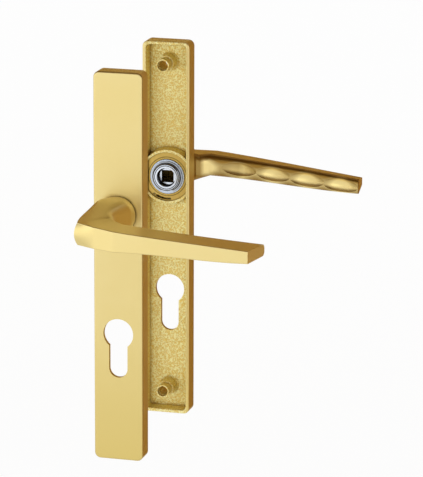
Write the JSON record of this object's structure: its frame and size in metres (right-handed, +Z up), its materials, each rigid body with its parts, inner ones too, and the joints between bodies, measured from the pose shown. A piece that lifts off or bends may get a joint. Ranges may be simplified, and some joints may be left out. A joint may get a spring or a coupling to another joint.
{
  "type": "door lever handle pair on backplates",
  "caption": "Pair of sprung door lever handles on long narrow backplates with euro-cylinder openings, for both faces of a door.",
  "frame": {"origin": "on the lever axis, in the plane where the outer backplate meets the door", "axes": "+Z up, +X along the levers, +Y through the door from the outer half to the inner half"},
  "size_m": [0.1148, 0.2118, 0.22],
  "materials": {
    "gold_casting": "satin gold anodised",
    "plated_steel": "zinc plated",
    "bush": "moulded",
    "dark_ring": "moulded",
    "spring_steel": "oiled",
    "yellow_plate": "yellow passivated",
    "black_steel": "blackened"
  },
  "bodies": {
    "backplates": {"outer_backplate": "gold_casting", "outer_bearing_bush": "bush", "outer_neck_ring": "dark_ring", "outer_return_spring": "spring_steel", "outer_anchor_pin": "plated_steel", "outer_cover_plate": "gold_casting", "inner_backplate": "gold_casting", "inner_bearing_bush": "bush", "inner_neck_ring": "dark_ring", "inner_return_spring": "spring_steel", "inner_anchor_pin": "plated_steel", "inner_cover_plate": "gold_casting"},
    "outer_lever_set": {"outer_lever": "gold_casting", "outer_spindle_sleeve": "plated_steel", "outer_drive_plate": "yellow_plate", "outer_thrust_washer": "plated_steel", "outer_circlip": "spring_steel"},
    "inner_lever_set": {"inner_lever": "gold_casting", "inner_spindle_sleeve": "plated_steel", "inner_drive_plate": "yellow_plate", "inner_thrust_washer": "plated_steel", "inner_circlip": "spring_steel", "inner_grub_screw": "black_steel"}
  },
  "joints": [
    {"name": "outer_lever_turn", "type": "hinge", "parent": "backplates", "child": "outer_lever_set", "pos_m": [0, 0, 0], "axis": [0, 1, 0], "range_deg": [0, 40], "stiffness_Nm_per_rad": 0.8, "springref_deg": -28.65, "deforming": ["outer_return_spring"]},
    {"name": "inner_lever_turn", "type": "hinge", "parent": "backplates", "child": "inner_lever_set", "pos_m": [0, 0.082, 0], "axis": [0, 1, 0], "range_deg": [0, 40], "stiffness_Nm_per_rad": 0.8, "springref_deg": -28.65, "deforming": ["inner_return_spring"]}
  ]
}
